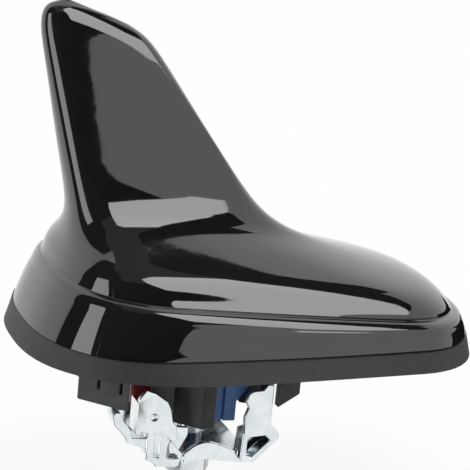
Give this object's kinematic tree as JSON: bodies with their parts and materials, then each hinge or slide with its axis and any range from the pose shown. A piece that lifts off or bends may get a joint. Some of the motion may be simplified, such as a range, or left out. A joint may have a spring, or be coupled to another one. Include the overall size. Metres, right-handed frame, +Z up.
{
  "type": "shark fin aerial",
  "caption": "Car roof aerial: a gloss black fin-shaped cover on a rubber roof seal, with coded jacks and a sheet steel claw on one bolt under the roof.",
  "frame": {"origin": "middle of the roof opening, on the plane where the foam seal meets the roof", "axes": "+X to the nose of the cover, +Y to the car's left, +Z up out of the roof"},
  "size_m": [0.112, 0.0766, 0.1139],
  "materials": {
    "gloss_black": "piano black, high gloss",
    "seal_rubber": "matt, fine moulded grain",
    "foam_rubber": "matt closed-cell foam",
    "zinc_casting": "as cast, satin",
    "brass": "turned",
    "neck_plastic": "matt moulded",
    "jack_black": "matt moulded",
    "sleeve_metal": "plated",
    "gold_plate": "plated",
    "jack_blue": "satin moulded",
    "jack_bordeaux": "satin moulded",
    "zinc_plate": "bright zinc plated",
    "bolt_steel": "zinc plated",
    "board_green": "solder mask",
    "tinplate": "tin plated",
    "patch_ceramic": "fired ceramic",
    "silver_print": "printed silver",
    "holder_plastic": "natural moulded",
    "spring_bronze": "phosphor bronze",
    "screw_steel": "zinc plated"
  },
  "bodies": {
    "root": {"cover": "gloss_black", "roof_gasket": "seal_rubber", "foam_seal": "foam_rubber", "base_plate": "zinc_casting", "bolt_insert": "brass", "neck_rear": "neck_plastic", "neck_front": "neck_plastic", "jack_black_housing": "jack_black", "jack_black_sleeve": "sleeve_metal", "jack_black_pin": "gold_plate", "jack_blue_housing": "jack_blue", "jack_blue_sleeve": "sleeve_metal", "jack_blue_pin": "gold_plate", "jack_bordeaux_housing": "jack_bordeaux", "jack_bordeaux_sleeve": "sleeve_metal", "jack_bordeaux_pin": "gold_plate", "jack_carrier": "jack_black", "claw": "zinc_plate", "clamp_washer": "bolt_steel", "clamp_bolt": "bolt_steel", "main_board": "board_green", "shield_can": "tinplate", "satellite_patch": "patch_ceramic", "patch_electrode": "silver_print", "patch_pin": "gold_plate", "phone_element": "tinplate", "fin_board": "board_green", "board_holder": "holder_plastic", "contact_spring": "spring_bronze", "cover_screw_1": "screw_steel", "cover_screw_2": "screw_steel", "cover_screw_3": "screw_steel", "cover_screw_4": "screw_steel", "board_screw_1": "screw_steel", "board_screw_2": "screw_steel", "board_screw_3": "screw_steel", "board_screw_4": "screw_steel"}
  },
  "joints": []
}
